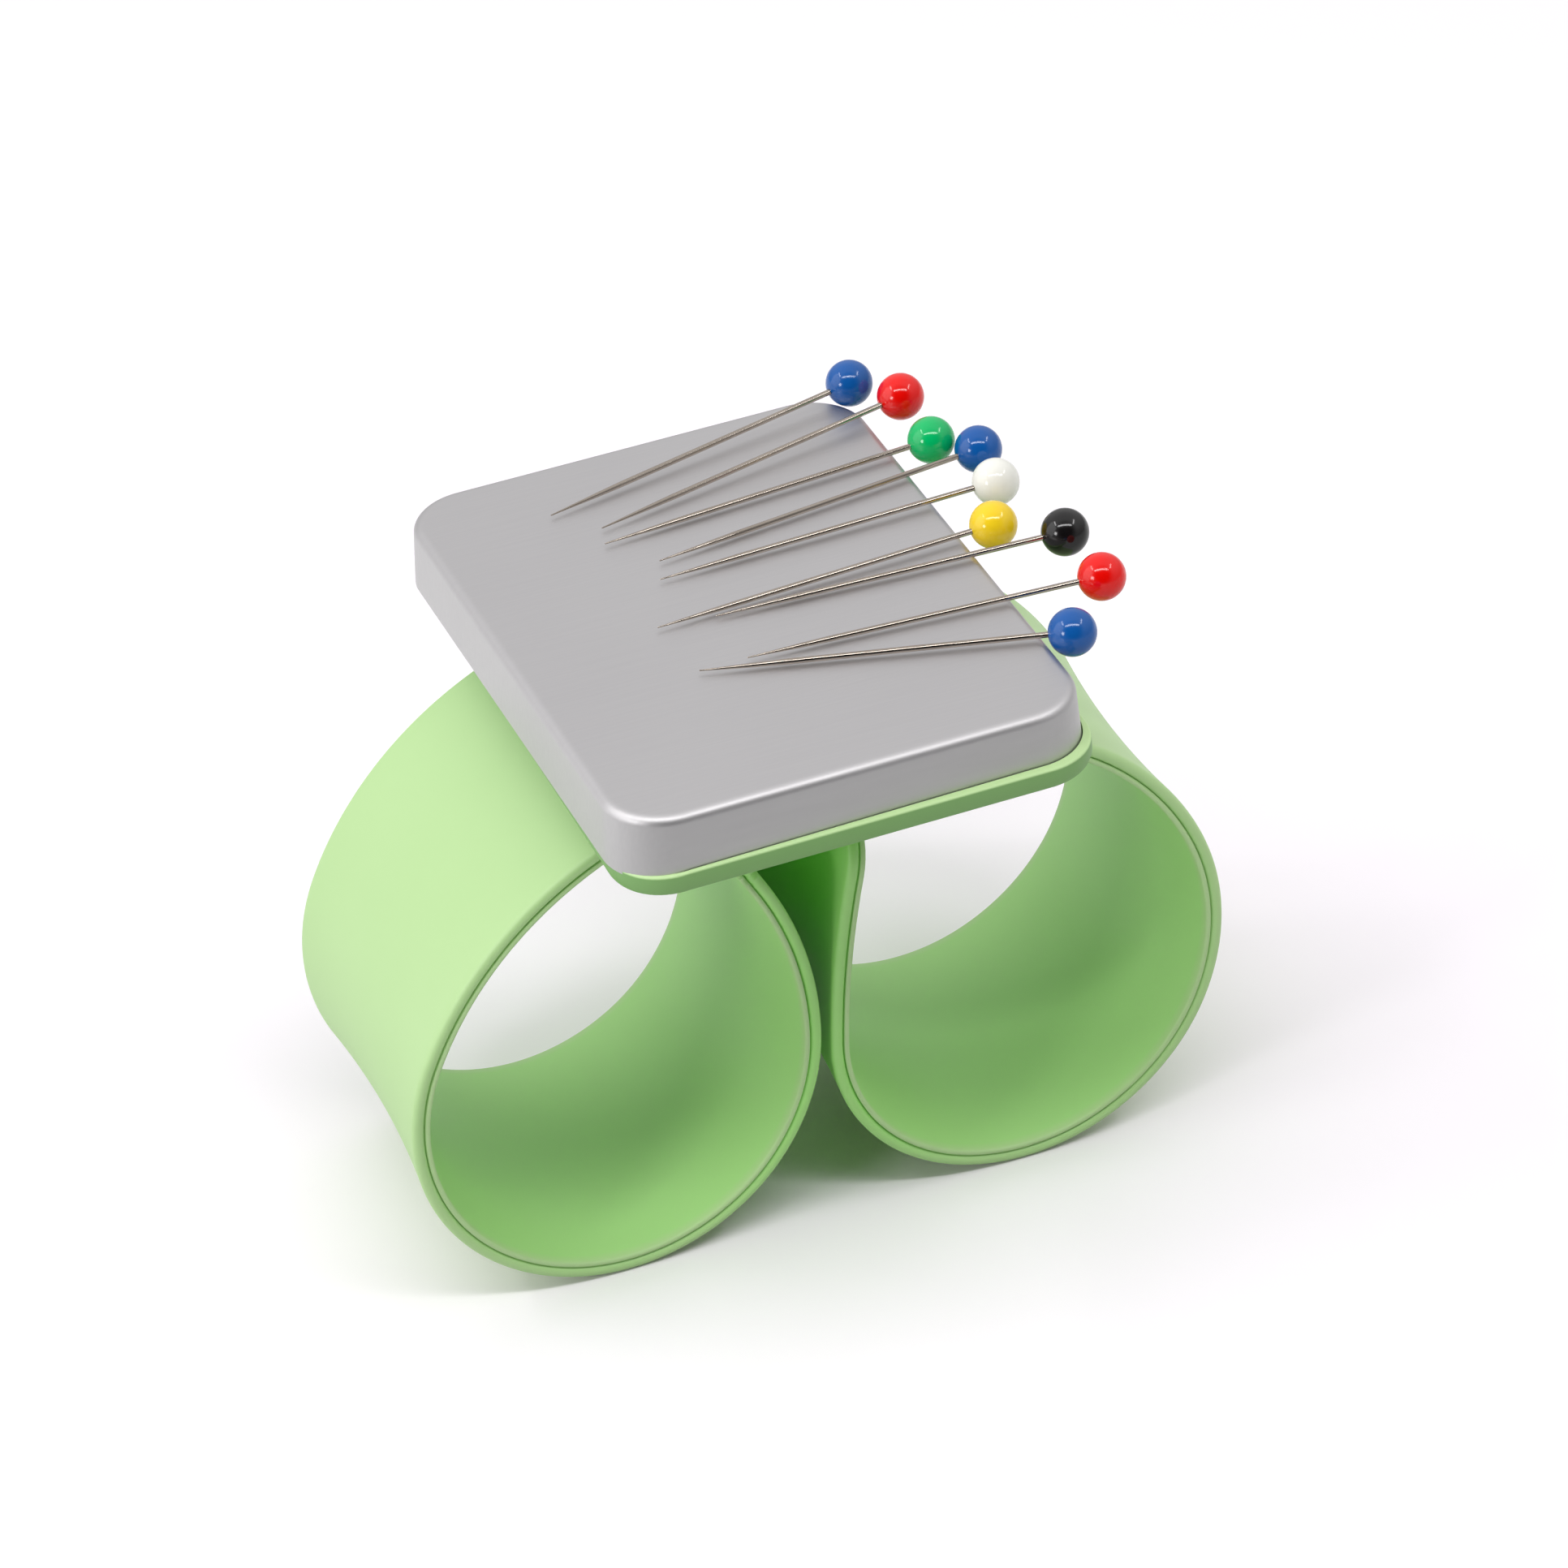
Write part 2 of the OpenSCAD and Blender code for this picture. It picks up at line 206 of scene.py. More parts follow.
# %% [markdown]
# Drawn lines are the same noise, squeezed hard across the lines and left long along
# them. The stretch is a vector, so that each metal has its own: the cover is brushed
# along X, and the spring strip is squeezed along Y alone, so that its lines follow it all
# round its curl.

# %% Drawn lines group
STREAK_DETAIL, CLOUD_DETAIL = 4, 2
STREAK_SHARE = 0.5


def make_drawn_lines():
    """Streaks along one direction, in colour, roughness and height."""
    sockets = SURFACE_SOCKETS + [("Stretch", VECTOR, (1, 40, 40))]
    group, start, end = new_group("drawn lines", sockets, SURFACE_RESULTS)
    link = group.links.new
    stretch = group.nodes.new("ShaderNodeVectorMath")
    stretch.operation = "MULTIPLY"
    link(start.outputs["Vector"], stretch.inputs[0])
    link(start.outputs["Stretch"], stretch.inputs[1])
    streak = group.nodes.new("ShaderNodeTexNoise")
    streak.inputs["Detail"].default_value = STREAK_DETAIL
    link(stretch.outputs["Vector"], streak.inputs["Vector"])
    link(start.outputs["Fine scale"], streak.inputs["Scale"])
    cloud = group.nodes.new("ShaderNodeTexNoise")
    cloud.inputs["Detail"].default_value = CLOUD_DETAIL
    link(start.outputs["Vector"], cloud.inputs["Vector"])
    link(start.outputs["Mottle scale"], cloud.inputs["Scale"])
    both = group.nodes.new("ShaderNodeMath")
    both.operation = "MULTIPLY_ADD"
    both.inputs[1].default_value = STREAK_SHARE
    link(streak.outputs["Fac"], both.inputs[0])
    rest = group.nodes.new("ShaderNodeMath")
    rest.operation = "MULTIPLY"
    rest.inputs[1].default_value = 1 - STREAK_SHARE
    link(cloud.outputs["Fac"], rest.inputs[0])
    link(rest.outputs["Value"], both.inputs[2])
    spread(group, start, end, both.outputs["Value"])
    link(streak.outputs["Fac"], end.inputs["Height"])
    return group


drawn_lines = make_drawn_lines()
print("drawn lines group:", len(drawn_lines.nodes), "nodes")

# %% [markdown]
# A material is then one shader, one group and a bump. The values that are the same all
# over a surface, such as how metallic it is, are typed on the shader itself.

# %% Material helper
def linear(red, green, blue):
    """An sRGB colour, given in 0 to 255, as the linear colour that a socket takes."""
    shares = [c / 255 for c in (red, green, blue)]
    curve = [s / 12.92 if s <= 0.04045 else ((s + 0.055) / 1.055) ** 2.4 for s in shares]
    return (*curve, 1)


def make_material(name, group, values, bump, **shader_values):
    """A Principled material fed by one of the two groups on Object coordinates."""
    material = bpy.data.materials.new(name)
    material.use_nodes = True
    tree = material.node_tree
    shader = tree.nodes["Principled BSDF"]
    for socket, value in shader_values.items():
        shader.inputs[socket.replace("_", " ")].default_value = value
    place = tree.nodes.new("ShaderNodeTexCoord")
    effect = tree.nodes.new("ShaderNodeGroup")
    effect.node_tree = group
    for socket, value in values.items():
        effect.inputs[socket].default_value = value
    relief = tree.nodes.new("ShaderNodeBump")
    relief.inputs["Strength"].default_value = 1
    relief.inputs["Distance"].default_value = bump
    tree.links.new(place.outputs["Object"], effect.inputs["Vector"])
    tree.links.new(effect.outputs["Colour"], shader.inputs["Base Color"])
    tree.links.new(effect.outputs["Roughness"], shader.inputs["Roughness"])
    tree.links.new(effect.outputs["Height"], relief.inputs["Height"])
    tree.links.new(relief.outputs["Normal"], shader.inputs["Normal"])
    return material


# %% [markdown]
# The silicone is a pale, slightly yellow green with a satin skin. Its colour also carries painted light: it
# is painted deeper and greener inside the loops and in the narrow gap between them, as painted shade, and a
# little paler on a thin lip, as a painted highlight. Light that travels inside a material is slow to render,
# so each new silicone piece carries an attribute of its own instead, "depth", which sets how much shade is
# painted. On the band it is 0 on the outside, 1 inside a loop, more in the narrow gap between the loops and
# a little less than 0 on a thin lip. The colour is multiplied by a tint that is white at 0, the written one
# at 1, and goes on past both. The tray's tint is darker: it is painted shade for the tray's low wall, which
# is dim under the cover.

# %% Silicone, with painted shade
SHADE_ATTRIBUTE = "depth"
# Painted shade: the tints that the band and the tray's wall take at a depth of 1.
PAINTED_SHADE_TINT = (0.89, 1.05, 0.82, 1)
WALL_PAINTED_SHADE_TINT = (0.42, 0.58, 0.38, 1)
# The depth of the lip's painted highlight, and of the painted shade in the gap between the loops.
LIP_PAINTED_HIGHLIGHT, GAP_PAINTED_SHADE = -0.1, 3


def paint_shade(material, tint):
    """Paints shade into a material's colour: multiplies it by a tint, by its piece's depth."""
    tree = material.node_tree
    shader = tree.nodes["Principled BSDF"]
    plain = shader.inputs["Base Color"].links[0].from_socket
    depth = tree.nodes.new("ShaderNodeAttribute")
    depth.attribute_name = SHADE_ATTRIBUTE
    shade = tree.nodes.new("ShaderNodeMix")
    shade.data_type = "RGBA"
    shade.clamp_factor = False
    shade.inputs["A"].default_value = (1, 1, 1, 1)
    shade.inputs["B"].default_value = tint
    tree.links.new(depth.outputs["Fac"], shade.inputs["Factor"])
    deep = tree.nodes.new("ShaderNodeMix")
    deep.data_type = "RGBA"
    deep.blend_type = "MULTIPLY"
    deep.inputs["Factor"].default_value = 1
    tree.links.new(plain, deep.inputs["A"])
    tree.links.new(shade.outputs["Result"], deep.inputs["B"])
    tree.links.new(deep.outputs["Result"], shader.inputs["Base Color"])


def make_silicone(name, tint):
    """The pale green silicone, with the tint of painted shade that it takes at a depth of 1."""
    material = make_material(
        name,
        grain,
        {
            "Light colour": linear(187, 222, 157),
            "Dark colour": linear(181, 218, 150),
            "Low roughness": 0.42,
            "High roughness": 0.52,
            "Mottle scale": 45,
            "Fine scale": 2500,
        },
        bump=0.004 * MM,
        Specular_IOR_Level=0.7,
    )
    paint_shade(material, tint)
    return material


silicone = make_silicone("satin silicone", PAINTED_SHADE_TINT)
tray_silicone = make_silicone("tray silicone with painted shade", WALL_PAINTED_SHADE_TINT)
print("materials:", len(bpy.data.materials))

# %% [markdown]
# The cover is thin stainless steel with a satin finish, brushed in faint lines that run
# with the band. The spring strip inside the band is brighter rolled steel. The pins are
# nickel-plated, nearly mirror bright, with a faint warm tone, and too thin to show lines.

# %% Metals
cover_steel = make_material(
    "satin steel",
    drawn_lines,
    {
        "Light colour": linear(209, 207, 208),
        "Dark colour": linear(198, 196, 198),
        "Low roughness": 0.44,
        "High roughness": 0.54,
        "Mottle scale": 60,
        "Fine scale": 120,
        "Stretch": (1, 40, 12),
    },
    bump=0.006 * MM,
    Metallic=1,
)
spring_steel = make_material(
    "rolled spring steel",
    drawn_lines,
    {
        "Light colour": linear(200, 203, 207),
        "Dark colour": linear(170, 174, 180),
        "Low roughness": 0.22,
        "High roughness": 0.36,
        "Mottle scale": 80,
        "Fine scale": 150,
        "Stretch": (1, 30, 1),
    },
    bump=0.004 * MM,
    Metallic=1,
)
pin_nickel = make_material(
    "bright nickel",
    grain,
    {
        "Light colour": linear(188, 178, 168),
        "Dark colour": linear(164, 153, 142),
        "Low roughness": 0.06,
        "High roughness": 0.1,
        "Mottle scale": 250,
        "Fine scale": 3000,
    },
    bump=0.0002 * MM,
    Metallic=1,
)
print("materials:", len(bpy.data.materials))

# %% [markdown]
# The heads of the pins are glossy moulded plastic in six colours. Inside the cover are
# dark ferrite magnets, closed-cell foam and a thin double-sided tape.

# %% Plastics and fillings
HEAD_COLOURS = {
    "blue": (12, 90, 170),
    "red": (245, 8, 2),
    "green": (0, 192, 106),
    "white": (250, 249, 241),
    "yellow": (255, 217, 34),
    "black": (18, 16, 17),
}
HEAD_SHADE, FILLING_SHADE = 0.96, 0.8
FILLING_ROUGHER, FILLING_MOTTLE = 0.15, 0.25


def darker(colour, share):
    """An sRGB colour with all its values at a share."""
    return tuple(c * share for c in colour)


heads = {
    name: make_material(
        f"glossy {name} plastic",
        grain,
        {
            "Light colour": linear(*colour),
            "Dark colour": linear(*darker(colour, HEAD_SHADE)),
            "Low roughness": 0.1,
            "High roughness": 0.16,
            "Mottle scale": 300,
            "Fine scale": 1500,
        },
        bump=0.001 * MM,
        Specular_IOR_Level=0.55,
    )
    for name, colour in HEAD_COLOURS.items()
}


def make_filling(name, colour, roughness, scale, bump):
    """A dull material for what fills the pad, with its bump in mm."""
    return make_material(
        name,
        grain,
        {
            "Light colour": linear(*colour),
            "Dark colour": linear(*darker(colour, FILLING_SHADE)),
            "Low roughness": roughness,
            "High roughness": min(1, roughness + FILLING_ROUGHER),
            "Mottle scale": scale * FILLING_MOTTLE,
            "Fine scale": scale,
        },
        bump=bump * MM,
    )


ferrite = make_filling("sintered ferrite", (52, 52, 54), 0.5, 3000, 0.03)
foam = make_filling("closed-cell foam", (70, 72, 76), 0.85, 1500, 0.15)
tape = make_filling("double-sided tape", (214, 200, 160), 0.6, 900, 0.02)
print("materials:", len(bpy.data.materials))

# %% [markdown]
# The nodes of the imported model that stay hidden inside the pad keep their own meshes,
# and only get a finish: tape, magnets, spacer, foam and the pad of silicone that bonds
# the tray to the band.

# %% Finish the carried-over nodes
FINISHES = {
    "cover_tape": tape,
    "magnet_near": ferrite,
    "magnet_far": ferrite,
    "magnet_spacer": foam,
    "foam_pad": foam,
    "bond_pad": silicone,
}
for node, finish in FINISHES.items():
    held = frame["nodes"][node].data.materials
    held.clear()
    held.append(finish)
print("carried-over nodes:", len(FINISHES))


# %% [markdown]
# Every new piece ends the same way: its doubles are merged, its faces are turned
# outwards, and it becomes an object with soft shading between sharp edges. An operator
# gives back its new geometry as one mixed list, which two small helpers sort.

# %% Helpers for every piece
SHARP_ANGLE = math.radians(35)
CLOSE = 0.0005 * MM


def finish_piece(bm, name, material):
    """Turns a bmesh into a smooth object with a finish."""
    bmesh.ops.remove_doubles(bm, verts=bm.verts[:], dist=CLOSE)
    bmesh.ops.recalc_face_normals(bm, faces=bm.faces[:])
    mesh = bpy.data.meshes.new(name)
    bm.to_mesh(mesh)
    bm.free()
    mesh.polygons.foreach_set("use_smooth", [True] * len(mesh.polygons))
    mesh.set_sharp_from_angle(angle=SHARP_ANGLE)
    mesh.materials.append(material)
    piece = bpy.data.objects.new(name, mesh)
    scene.collection.objects.link(piece)
    return piece


def open_edges(bm):
    """How many edges don't join exactly two faces, which is none on a closed piece."""
    return sum(not edge.is_manifold for edge in bm.edges)


def verts_of(geom):
    """The vertices in a mixed list."""
    return [g for g in geom if isinstance(g, bmesh.types.BMVert)]


def edges_of(geom):
    """The edges in a mixed list."""
    return [g for g in geom if isinstance(g, bmesh.types.BMEdge)]


# %% [markdown]
# The cover and the tray are both plates with round corners. Such an outline is quickly
# made from one square face, scaled to size, whose four corners are bevelled as vertices:
# the bevel's arc is a quarter circle, with as many steps as it is given.

# %% Round plate helper
CORNER_STEPS = 16


def round_face(bm, width, length, corner):
    """A flat face with round corners, centred on the origin at z = 0."""
    corners = bmesh.ops.create_grid(bm, x_segments=1, y_segments=1, size=1)["verts"]
    bmesh.ops.scale(bm, vec=(width / 2, length / 2, 1), verts=corners)
    bmesh.ops.bevel(
        bm,
        geom=corners,
        offset=corner,
        offset_type="OFFSET",
        segments=CORNER_STEPS,
        profile=0.5,
        affect="VERTICES",
        material=-1,
    )
    return bm.faces[:][0]


def raise_face(bm, face, height):
    """Extrudes a face straight up and returns the new top face."""
    grown = bmesh.ops.extrude_face_region(bm, geom=[face])["geom"]
    bmesh.ops.translate(bm, vec=(0, 0, height), verts=verts_of(grown))
    return next(g for g in grown if isinstance(g, bmesh.types.BMFace))


def round_edges(bm, edges, radius, segments):
    """Rounds edges with a radius."""
    bmesh.ops.bevel(
        bm,
        geom=edges,
        offset=radius,
        offset_type="OFFSET",
        segments=segments,
        profile=0.5,
        affect="EDGES",
        material=-1,
    )


# %% [markdown]
# The steel cover is a shallow drawn lid: a flat top, a small fold all round it and a
# skirt that flares out a little towards its foot. It is drawn as a plate of the foot's
# size whose top is scaled in, the fold is a bevel of the top edge, and the open shell
# gets the thickness of the sheet at the end. Insets near the fold keep the shading of
# the flat top flat.

# %% Steel cover
COVER_WIDTH, COVER_LENGTH, COVER_CORNER = 40 * MM, 53.7 * MM, 5 * MM
COVER_FOLD, SHEET, SKIRT_FLARE = 0.8 * MM, 0.5 * MM, 0.29 * MM
COVER_TURN = math.radians(0.9)
FOLD_STEPS = 10
FOLD_MARGINS = (0.15 * MM, 0.5 * MM, 2 * MM)
cover_low, cover_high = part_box("steel_cover")
cover_middle = (cover_low + cover_high) / 2
cover_height = cover_high.z - cover_low.z


def make_cover():
    """The lid as a shell of sheet steel, open at its foot."""
    bm = bmesh.new()
    foot = round_face(
        bm,
        COVER_WIDTH + 2 * SKIRT_FLARE,
        COVER_LENGTH + 2 * SKIRT_FLARE,
        COVER_CORNER + SKIRT_FLARE,
    )
    top = raise_face(bm, foot, cover_height)
    bmesh.ops.scale(
        bm,
        vec=(
            COVER_WIDTH / (COVER_WIDTH + 2 * SKIRT_FLARE),
            COVER_LENGTH / (COVER_LENGTH + 2 * SKIRT_FLARE),
            1,
        ),
        verts=list(top.verts),
    )
    low_faces = [f for f in bm.faces if f.calc_center_median().z < CLOSE]
    bmesh.ops.delete(bm, geom=low_faces, context="FACES_ONLY")
    round_edges(bm, list(top.edges), COVER_FOLD, FOLD_STEPS)
    high_faces = [f for f in bm.faces if f.calc_center_median().z > cover_height - CLOSE]
    top = max(high_faces, key=lambda f: f.calc_area())
    for margin in FOLD_MARGINS:
        bmesh.ops.inset_region(
            bm, faces=[top], thickness=margin, depth=0, use_even_offset=True
        )
    bmesh.ops.recalc_face_normals(bm, faces=bm.faces[:])
    bmesh.ops.solidify(bm, geom=bm.faces[:], thickness=SHEET)
    print("cover: z from", [round(f(v.co.z for v in bm.verts) / MM, 3) for f in (min, max)])
    print("cover: open edges", open_edges(bm))
    bmesh.ops.rotate(bm, verts=bm.verts[:], matrix=Matrix.Rotation(COVER_TURN, 3, "Z"))
    bmesh.ops.translate(
        bm, verts=bm.verts[:], vec=(cover_middle.x, cover_middle.y, cover_low.z)
    )
    return bm


cover = finish_piece(make_cover(), "cover_shell", cover_steel)
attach(cover, "pad")
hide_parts("steel_cover")
print("cover shell:", len(cover.data.polygons), "faces")

# %% [markdown]
# The tray is soft moulded silicone that shows as a rounded rim below the cover. It is a
# plate with rounded edges, and the pocket that the cover stands in is cut out of it with
# a Boolean, because the pocket is turned and shifted a little, so that the lip runs out
# Soft as it is, the real tray isn't quite true: its foot is drawn in, its left side slips in under the cover
# towards the front, and its near corners hang a little. The vertices of the cut block are moved to match,
# and they get their depth too: a little less than 0 on the lip, which paints it paler as a highlight, and 1
# on the wall below it, which paints shade there.

# %% Silicone tray
TRAY_CORNER, TRAY_ROUND, LIP_GAP = COVER_CORNER + SKIRT_FLARE, 0.22 * MM, 0.05 * MM
TRAY_ROUND_STEPS = 6
CUT_OVERRUN = 1 * MM
FLAT_NORMAL = 0.5
UNDERCUT, UNDERCUT_DROP = 0.35 * MM, 0.1 * MM
SAG_START, SAG_POWER = 1 * MM, 2.5
SAGS = {"left": 1.15 * MM, "right": 0.25 * MM}
DRAWS = {"left": 0.55 * MM, "right": 0}
RIM_PAINTED_HIGHLIGHT, RIM_SHARE, WALL_SHARE = -0.3, 0.06, 0.055
tray_low, tray_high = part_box("silicone_tray")
tray_size = tray_high - tray_low
tray_middle = (tray_low + tray_high) / 2


def make_slab(width, length, corner, height, rounding):
    """A plate with round corners, and with round edges too unless the rounding is 0."""
    bm = bmesh.new()
    foot = round_face(bm, width, length, corner)
    raise_face(bm, foot, height)
    if rounding:
        flat = [f for f in bm.faces if abs(f.normal.z) > FLAT_NORMAL]
        round_edges(bm, [e for f in flat for e in f.edges], rounding, TRAY_ROUND_STEPS)
    return bm


def cut_out(block, cutter):
    """A new bmesh of a block with a cutter cut out of it. The two old ones are freed."""
    things = []
    for bm in (block, cutter):
        bmesh.ops.recalc_face_normals(bm, faces=bm.faces[:])
        mesh = bpy.data.meshes.new("cutting")
        bm.to_mesh(mesh)
        bm.free()
        thing = bpy.data.objects.new("cutting", mesh)
        scene.collection.objects.link(thing)
        things.append(thing)
    cut = things[0].modifiers.new("cut", "BOOLEAN")
    cut.operation = "DIFFERENCE"
    cut.solver = "EXACT"
    cut.object = things[1]
    seen = things[0].evaluated_get(bpy.context.evaluated_depsgraph_get())
    result = bmesh.new()
    result.from_mesh(seen.to_mesh())
    seen.to_mesh_clear()
    for thing in things:
        bpy.data.objects.remove(thing)
    return result


def make_tray():
    """The block of silicone with the cover's pocket cut out of it."""
    block = make_slab(tray_size.x, tray_size.y, TRAY_CORNER, tray_size.z, TRAY_ROUND)
    bmesh.ops.translate(
        block, verts=block.verts[:], vec=(tray_middle.x, tray_middle.y, tray_low.z)
    )
    margin = SKIRT_FLARE + LIP_GAP
    pocket = make_slab(
        COVER_WIDTH + 2 * margin,
        COVER_LENGTH + 2 * margin,
        COVER_CORNER + margin,
        tray_size.z + CUT_OVERRUN,
        0,
    )
    bmesh.ops.rotate(
        pocket, verts=pocket.verts[:], matrix=Matrix.Rotation(COVER_TURN, 3, "Z")
    )
    bmesh.ops.translate(
        pocket, verts=pocket.verts[:], vec=(cover_middle.x, cover_middle.y, cover_low.z)
    )
    return cut_out(block, pocket)


def sag(bm):
    """Draws in the foot and the left side, hangs the near corners, and paints shade on the walls and a
    highlight on the rim.
    """
    undercut_top = cover_low.z - UNDERCUT_DROP
    bmesh.ops.bisect_plane(
        bm,
        geom=bm.verts[:] + bm.edges[:] + bm.faces[:],
        plane_co=(0, 0, undercut_top),
        plane_no=(0, 0, 1),
    )
    depth = bm.verts.layers.float[SHADE_ATTRIBUTE]
    for vert in bm.verts:
        down = (tray_high.z - vert.co.z) / tray_size.z
        # Painted light: the rim on top is painted paler as a highlight, and the wall below it gets painted
        # shade.
        vert[depth] = max(RIM_PAINTED_HIGHLIGHT, min(1, (down - RIM_SHARE) / WALL_SHARE))
        below = max(0, (undercut_top - vert.co.z) / (undercut_top - tray_low.z))
        from_middle = vert.co - tray_middle
        vert.co.x -= below * UNDERCUT * from_middle.x / tray_size.x
        vert.co.y -= below * UNDERCUT * from_middle.y / tray_size.y
        side = "left" if vert.co.x < SAG_START else "right"
        end = tray_low.x if side == "left" else tray_high.x
        out = (vert.co.x - SAG_START) / (end - SAG_START)
        nearer = -2 * from_middle.y / tray_size.y
        vert.co.z -= SAGS[side] * out**SAG_POWER * max(0, nearer) ** 2
        vert.co.x += DRAWS[side] * out**SAG_POWER * (1 + nearer) / 2


tray_bm = make_tray()
tray_bm.verts.layers.float.new(SHADE_ATTRIBUTE)
sag(tray_bm)
print("tray: open edges", open_edges(tray_bm))
tray = finish_piece(tray_bm, "tray_rim", tray_silicone)
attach(tray, "pad")
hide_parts("silicone_tray")
print("tray:", len(tray.data.polygons), "faces")

# %% [markdown]
# The band is one long section swept along a path of arcs. Its outer face is cupped, so
# that its edges stand out, and each edge has a round outer bead, a crease, and a thin
# inner lip. Half of the section is drawn as if with a pen: a vertex is extruded, spun
# about the middle of the bead and then of the lip, and the half is mirrored.

# %% Band section
HALF_BAND, BAND_THICKNESS, BAND_CUP = 15 * MM, 1.55 * MM, 0.8 * MM
BEAD_SHARE = 2 / 3
BEAD = BAND_THICKNESS * BEAD_SHARE / 2
LIP = BAND_THICKNESS * (1 - BEAD_SHARE) / 2
FLAT_END = HALF_BAND - BEAD
LIP_OUT, CREASE_OUT = 0.2 * MM, 0.12 * MM
BEAD_ARC, LIP_ARC = math.radians(150), math.radians(140)
BEAD_STEPS, LIP_STEPS = 9, 6
FACE_CUTS = 17


def pen_line(bm, vert, place):
    """Extrudes a vertex to a place and returns the new one, with the edge between."""
    grown = bmesh.ops.extrude_vert_indiv(bm, verts=[vert])
    new = grown["verts"][0]
    new.co = place
    return new, grown["edges"][0]


def pen_arc(bm, vert, centre, angle, steps):
    """Spins a vertex about a centre and returns the last new one."""
    turned = bmesh.ops.spin(
        bm, geom=[vert], cent=centre, axis=(0, 0, 1), angle=angle, steps=steps
    )
    return verts_of(turned["geom_last"])[0]


def open_ends(bm):
    """How many vertices don't join exactly two edges, which is none on a closed ring."""
    return sum(len(v.link_edges) != 2 for v in bm.verts)


def make_ring(name, width, thickness):
    """The band's section at a given width and thickness, as a mesh of edges."""
    bm = bmesh.new()
    depth = bm.verts.layers.float.new(SHADE_ATTRIBUTE)
    start = bmesh.ops.create_vert(bm, co=(0, 0, 0))["vert"][0]
    pen, outer = pen_line(bm, start, (0, FLAT_END, 0))
    pen = pen_arc(bm, pen, (-BEAD, FLAT_END, 0), BEAD_ARC, BEAD_STEPS)
    pen, _ = pen_line(bm, pen, (-2 * BEAD, FLAT_END + CREASE_OUT, 0))
    lip_middle = Vector((-2 * BEAD - LIP, FLAT_END + LIP_OUT, 0))
    lip_start = math.pi - LIP_ARC
    offset = Vector((math.cos(lip_start), math.sin(lip_start), 0)) * LIP
    pen, _ = pen_line(bm, pen, lip_middle + offset)
    pen = pen_arc(bm, pen, lip_middle, LIP_ARC, LIP_STEPS)
    pen, inner = pen_line(bm, pen, (-BAND_THICKNESS, 0, 0))
    bmesh.ops.subdivide_edges(bm, edges=[outer, inner], cuts=FACE_CUTS)
    for vert in bm.verts:
        # Painted shade grows from 0 on the outer face to 1 on the inner face, and the lip gets a painted
        # highlight.
        on_lip = vert.co.y > FLAT_END and vert.co.x < -2 * BEAD - CLOSE
        vert[depth] = LIP_PAINTED_HIGHLIGHT if on_lip else -vert.co.x / BAND_THICKNESS
    bmesh.ops.mirror(bm, geom=bm.verts[:] + bm.edges[:], axis="Y", merge_dist=CLOSE)
    middle = Matrix.Translation((BAND_THICKNESS / 2, 0, 0))
    size = (thickness / BAND_THICKNESS, width / (2 * HALF_BAND), 1)
    bmesh.ops.scale(bm, vec=size, space=middle, verts=bm.verts[:])
    for vert in bm.verts:
        across = min(abs(vert.co.y), FLAT_END) / HALF_BAND
        vert.co.x -= BAND_CUP * (1 - across**2)
    ring = bpy.data.meshes.new(name)
    bm.to_mesh(ring)
    loose = open_ends(bm)
    bm.free()
    print(name, "vertices:", len(ring.vertices), "loose ends:", loose)
    return ring


STRIP_WIDTH, STRIP_THICKNESS, STRIP_GAP, STRIP_END = 24 * MM, 0.3 * MM, 0.1 * MM, 5 * MM
band_ring = make_ring("band_ring", 2 * HALF_BAND, BAND_THICKNESS)
slot_ring = make_ring(
    "slot_ring", STRIP_WIDTH + 2 * STRIP_GAP, STRIP_THICKNESS + 2 * STRIP_GAP
)
strip_ring = make_ring("strip_ring", STRIP_WIDTH, STRIP_THICKNESS)

# %% [markdown]
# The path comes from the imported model. Each arm starts level where the bond pad ends and
# turns down and inwards in arcs that meet at the hinges. The turn so far is 0 where the
# path runs outwards, 90 degrees where it runs down and 180 where it runs back. An arc
# leaves in the direction in which the last one ended, so its two end points are enough:
# the chord's direction is halfway through the bend.

# %% Path of the arms
OUTWARDS = {"left": -1, "right": 1}
LINKS = 7
TIP_RADIUS = {"left": 31.456 * MM, "right": 89.62 * MM}
TIP_BEND = {"left": math.radians(36), "right": math.radians(13)}
hinges = {j["name"]: Vector(j["pos_m"]) for j in frame["joints"] if "pos_m" in j}
pad_low, pad_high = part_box("bond_pad")
BAND_LEVEL = 45.3 * MM


def facing(out, turn):
    """Direction in which the outer face looks after a turn."""
    return Vector((out * math.sin(turn), 0, math.cos(turn)))


def arm_arcs(side):
    """The arcs of an arm: the turn so far, the bend, the radius and the centre of each."""
    out = OUTWARDS[side]
    edge = pad_low.x if side == "left" else pad_high.x
    places = [Vector((edge, 0, BAND_LEVEL))]
    hinge_names = [f"{side}_bend_{i}" for i in range(1, LINKS + 1)]
    places += [hinges[name] for name in hinge_names]
    arcs, turn = [], 0
    for start, end in zip(places, places[1:]):
        chord = end - start
        slope = math.atan2(-chord.z, out * chord.x)
        bend = 2 * ((slope - turn + math.pi) % (2 * math.pi) - math.pi)
        radius = chord.length / (2 * math.sin(bend / 2))
        arcs.append((turn, bend, radius, start - radius * facing(out, turn)))
        turn += bend
    radius = TIP_RADIUS[side]
    centre = places[-1] - radius * facing(out, turn)
    arcs.append((turn, TIP_BEND[side], radius, centre))
    return arcs


arms = {side: arm_arcs(side) for side in OUTWARDS}
for side, arcs in arms.items():
    print(side, "bends:", [round(math.degrees(a[1]), 1) for a in arcs])
    print(side, "radii:", [round(a[2] / MM, 2) for a in arcs])


